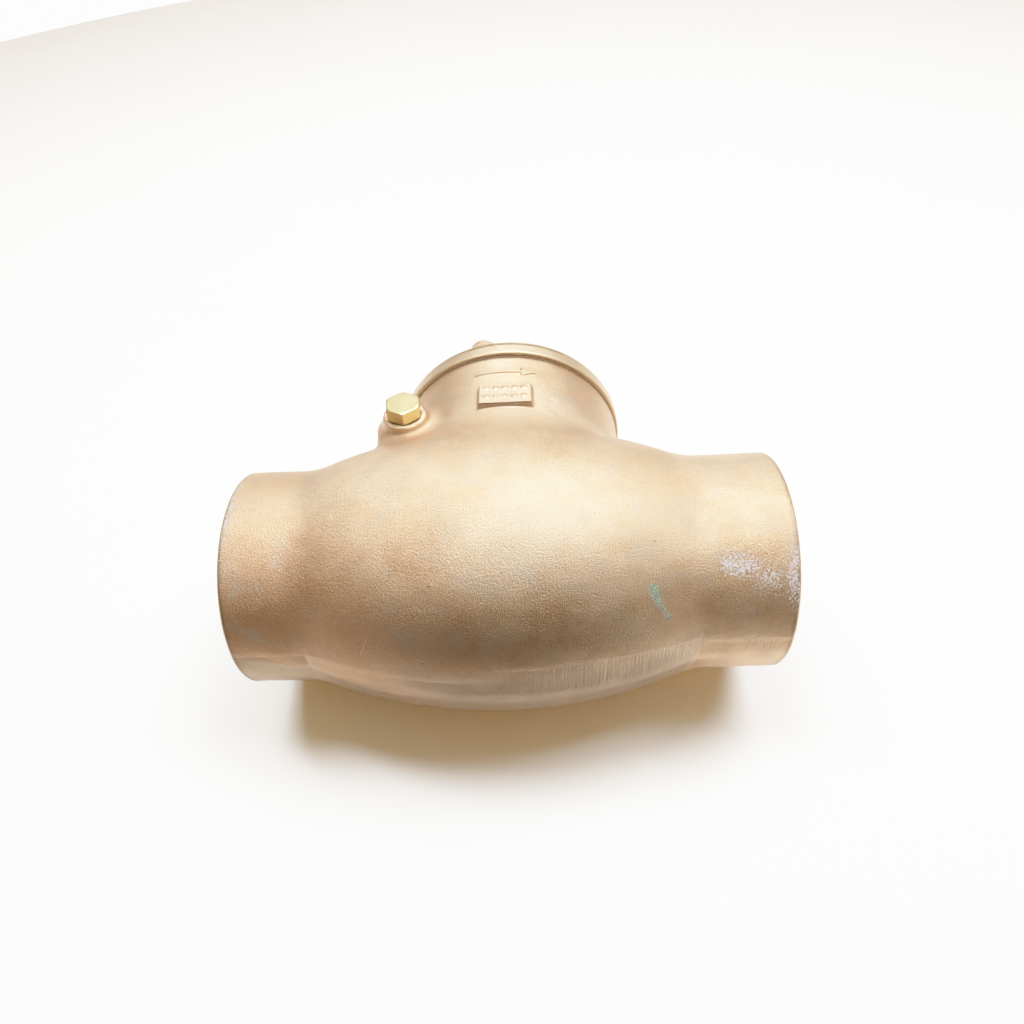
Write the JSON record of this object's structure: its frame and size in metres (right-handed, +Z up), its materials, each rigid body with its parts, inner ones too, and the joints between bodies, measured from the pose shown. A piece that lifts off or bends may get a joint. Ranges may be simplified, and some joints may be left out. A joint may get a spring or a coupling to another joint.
{
  "type": "swing check valve",
  "caption": "Bronze swing check valve with solder cup ends: bulging body, neck with a screwed lugged cap, plugged hinge pin, hinged soft-seated disc inside.",
  "frame": {"origin": "bottom centre of the bounding box, on the surface that the valve lies on", "axes": "+X with the flow from inlet to outlet, +Y towards the cap, +Z up along the hinge pin as the valve lies on its side; the neck tips 3.7 degrees down towards the cap, because the bowl and the cap's rim both touch the surface"},
  "size_m": [0.213, 0.1626, 0.1171],
  "materials": {
    "cast_bronze": "sand-cast bronze, grainy and satin, with lime and verdigris traces",
    "brass": "drawn hexagon brass, semi-bright",
    "turned_brass": "turned brass with fine tool rings",
    "hanger_bronze": "fine sand-cast bronze",
    "stainless": "ground stainless steel",
    "seat_plastic": "skived PTFE sheet, waxy",
    "gasket_fibre": "dark compressed fibre, matt"
  },
  "bodies": {
    "root": {"body": "cast_bronze", "cap": "cast_bronze", "cap_gasket": "gasket_fibre", "hinge_pin": "stainless", "side_plug_top": "brass", "side_plug_bottom": "brass"},
    "hanger": {"disc_hanger": "hanger_bronze"},
    "disc": {"disc_holder": "turned_brass", "seat_disc": "seat_plastic", "seat_disc_washer": "turned_brass", "seat_disc_nut": "brass", "hanger_washer": "turned_brass", "hanger_nut": "brass", "cotter_pin": "stainless"}
  },
  "joints": [
    {"name": "disc_swing", "type": "hinge", "parent": "root", "child": "hanger", "pos_m": [-0.042, 0.02481, 0.05556], "axis": [0, 0.0637, 0.998], "range_deg": [0, 60]},
    {"name": "disc_spin", "type": "hinge", "parent": "hanger", "child": "disc", "pos_m": [-0.013, -0.02279, 0.0586], "axis": [1, 0, 0], "continuous": true}
  ]
}
